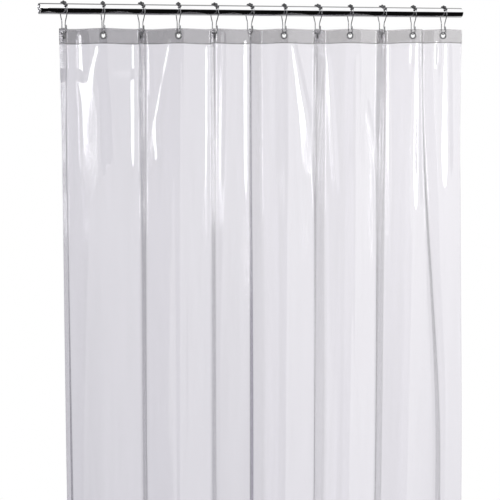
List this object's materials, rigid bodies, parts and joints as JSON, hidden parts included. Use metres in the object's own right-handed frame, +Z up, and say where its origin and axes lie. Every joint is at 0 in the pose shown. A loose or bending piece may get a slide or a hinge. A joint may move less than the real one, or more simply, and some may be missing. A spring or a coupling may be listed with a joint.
{
  "type": "shower curtain",
  "caption": "Clear vinyl shower curtain hung in zig-zag folds from a straight chromed rod by roller-bead wire hooks through metal grommets.",
  "frame": {"origin": "mid-length of the rod, on its axis", "axes": "+X along the rod to the right as seen from the room, +Y towards the wall side, +Z up"},
  "size_m": [1.1686, 0.1183, 1.8933],
  "materials": {
    "rod_chrome": "polished",
    "wire_chrome": "polished",
    "bead_chrome": "polished",
    "grommet_nickel": "satin",
    "washer_nickel": "satin",
    "film_vinyl": "clear gloss",
    "header_vinyl": "translucent satin"
  },
  "bodies": {
    "rod": {"rod": "rod_chrome"},
    "drape": {"film_sheet": "film_vinyl", "header_band": "header_vinyl"},
    "hook_01": {"hook_wire_01": "wire_chrome", "hook_beads_01": "bead_chrome", "eyelet_01": "grommet_nickel", "washer_01": "washer_nickel"},
    "hook_02": {"hook_wire_02": "wire_chrome", "hook_beads_02": "bead_chrome", "eyelet_02": "grommet_nickel", "washer_02": "washer_nickel"},
    "hook_03": {"hook_wire_03": "wire_chrome", "hook_beads_03": "bead_chrome", "eyelet_03": "grommet_nickel", "washer_03": "washer_nickel"},
    "hook_04": {"hook_wire_04": "wire_chrome", "hook_beads_04": "bead_chrome", "eyelet_04": "grommet_nickel", "washer_04": "washer_nickel"},
    "hook_05": {"hook_wire_05": "wire_chrome", "hook_beads_05": "bead_chrome", "eyelet_05": "grommet_nickel", "washer_05": "washer_nickel"},
    "hook_06": {"hook_wire_06": "wire_chrome", "hook_beads_06": "bead_chrome", "eyelet_06": "grommet_nickel", "washer_06": "washer_nickel"},
    "hook_07": {"hook_wire_07": "wire_chrome", "hook_beads_07": "bead_chrome", "eyelet_07": "grommet_nickel", "washer_07": "washer_nickel"},
    "hook_08": {"hook_wire_08": "wire_chrome", "hook_beads_08": "bead_chrome", "eyelet_08": "grommet_nickel", "washer_08": "washer_nickel"},
    "hook_09": {"hook_wire_09": "wire_chrome", "hook_beads_09": "bead_chrome", "eyelet_09": "grommet_nickel", "washer_09": "washer_nickel"},
    "hook_10": {"hook_wire_10": "wire_chrome", "hook_beads_10": "bead_chrome", "eyelet_10": "grommet_nickel", "washer_10": "washer_nickel"},
    "hook_11": {"hook_wire_11": "wire_chrome", "hook_beads_11": "bead_chrome", "eyelet_11": "grommet_nickel", "washer_11": "washer_nickel"},
    "hook_12": {"hook_wire_12": "wire_chrome", "hook_beads_12": "bead_chrome", "eyelet_12": "grommet_nickel", "washer_12": "washer_nickel"}
  },
  "joints": [
    {"name": "curtain_swing", "type": "hinge", "parent": "rod", "child": "drape", "pos_m": [0, 0, 0], "axis": [1, 0, 0], "range_deg": [-15, 15]},
    {"name": "draw_01", "type": "slide", "parent": "drape", "child": "hook_01", "axis": [-1, 0, 0], "range_m": [0, 0.01982]},
    {"name": "draw_02", "type": "slide", "parent": "drape", "child": "hook_02", "axis": [-1, 0, 0], "range_m": [0, 0.0817]},
    {"name": "draw_03", "type": "slide", "parent": "drape", "child": "hook_03", "axis": [-1, 0, 0], "range_m": [0, 0.14358]},
    {"name": "draw_04", "type": "slide", "parent": "drape", "child": "hook_04", "axis": [-1, 0, 0], "range_m": [0, 0.20546]},
    {"name": "draw_05", "type": "slide", "parent": "drape", "child": "hook_05", "axis": [-1, 0, 0], "range_m": [0, 0.26734]},
    {"name": "draw_06", "type": "slide", "parent": "drape", "child": "hook_06", "axis": [-1, 0, 0], "range_m": [0, 0.32922]},
    {"name": "draw_07", "type": "slide", "parent": "drape", "child": "hook_07", "axis": [-1, 0, 0], "range_m": [0, 0.3911]},
    {"name": "draw_08", "type": "slide", "parent": "drape", "child": "hook_08", "axis": [-1, 0, 0], "range_m": [0, 0.45298]},
    {"name": "draw_09", "type": "slide", "parent": "drape", "child": "hook_09", "axis": [-1, 0, 0], "range_m": [0, 0.51486]},
    {"name": "draw_10", "type": "slide", "parent": "drape", "child": "hook_10", "axis": [-1, 0, 0], "range_m": [0, 0.57674]},
    {"name": "draw_11", "type": "slide", "parent": "drape", "child": "hook_11", "axis": [-1, 0, 0], "range_m": [0, 0.63862]},
    {"name": "draw_12", "type": "slide", "parent": "drape", "child": "hook_12", "axis": [-1, 0, 0], "range_m": [0, 0.7], "deforming": ["film_sheet", "header_band"]}
  ],
  "couplings": [
    {"joint": "draw_01", "follows": "draw_12", "ratio": 0.027597},
    {"joint": "draw_02", "follows": "draw_12", "ratio": 0.116},
    {"joint": "draw_03", "follows": "draw_12", "ratio": 0.2044},
    {"joint": "draw_04", "follows": "draw_12", "ratio": 0.2928},
    {"joint": "draw_05", "follows": "draw_12", "ratio": 0.3812},
    {"joint": "draw_06", "follows": "draw_12", "ratio": 0.4696},
    {"joint": "draw_07", "follows": "draw_12", "ratio": 0.558},
    {"joint": "draw_08", "follows": "draw_12", "ratio": 0.6464},
    {"joint": "draw_09", "follows": "draw_12", "ratio": 0.7348},
    {"joint": "draw_10", "follows": "draw_12", "ratio": 0.8232},
    {"joint": "draw_11", "follows": "draw_12", "ratio": 0.9116}
  ]
}
